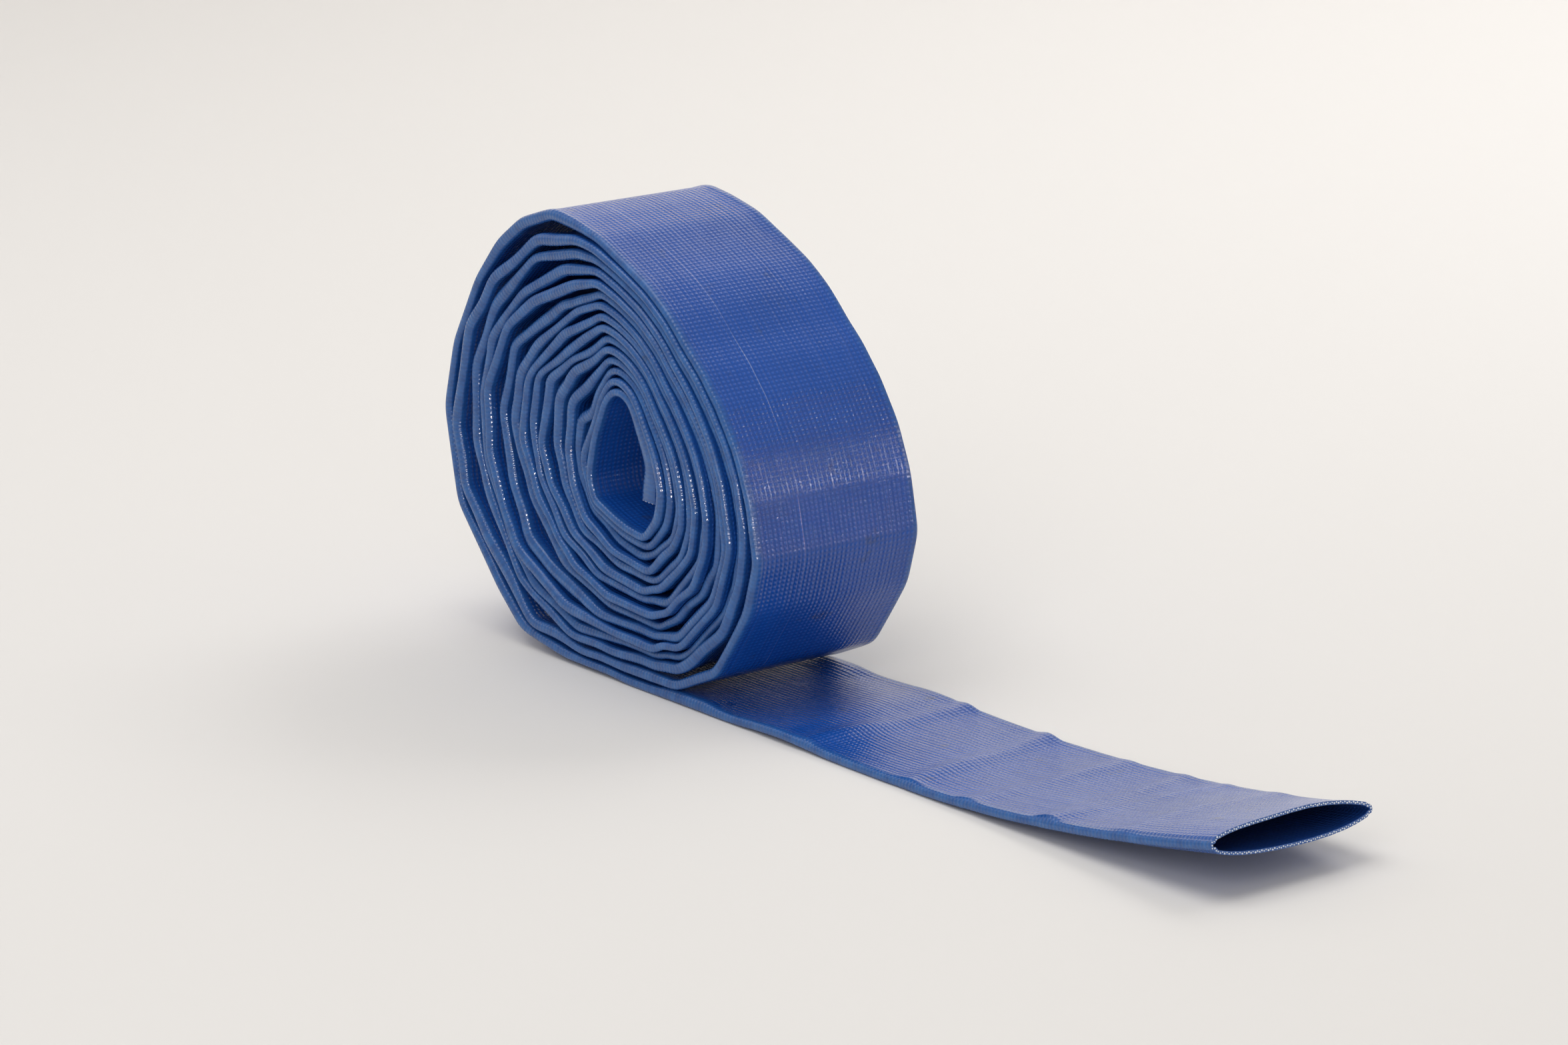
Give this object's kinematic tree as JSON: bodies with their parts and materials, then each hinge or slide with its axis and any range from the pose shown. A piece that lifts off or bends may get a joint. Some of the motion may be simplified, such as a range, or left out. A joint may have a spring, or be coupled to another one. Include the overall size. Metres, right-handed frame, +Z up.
{
  "type": "rolled lay-flat hose",
  "caption": "Flattened yarn-reinforced PVC water hose rolled up on its rim, with a short free tail lying on the floor and an open cut end.",
  "frame": {"origin": "on the floor, at the middle of the hose's width, in the middle of the flat stretch that the roll stands on", "axes": "+X along the free tail towards its mouth, +Y across the hose along the roll's axis, +Z up"},
  "size_m": [0.4662, 0.0822, 0.1877],
  "materials": {
    "blue_pvc": "gloss, fine woven relief from the yarns under it",
    "polyester_yarn": "dry twisted yarn, sealed between the PVC skins",
    "dark_blue_pvc": "satin"
  },
  "bodies": {
    "roll": {"roll_cover": "blue_pvc", "roll_weft_yarn": "polyester_yarn", "roll_warp_yarn": "polyester_yarn", "roll_liner": "dark_blue_pvc"},
    "tail": {"tail_cover": "blue_pvc", "tail_weft_yarn": "polyester_yarn", "tail_warp_yarn": "polyester_yarn", "tail_liner": "dark_blue_pvc"}
  },
  "joints": [
    {"name": "tail_lift", "type": "hinge", "parent": "roll", "child": "tail", "pos_m": [0.0306, 0, 0.0037], "axis": [0, -1, 0], "range_deg": [0, 40]}
  ]
}
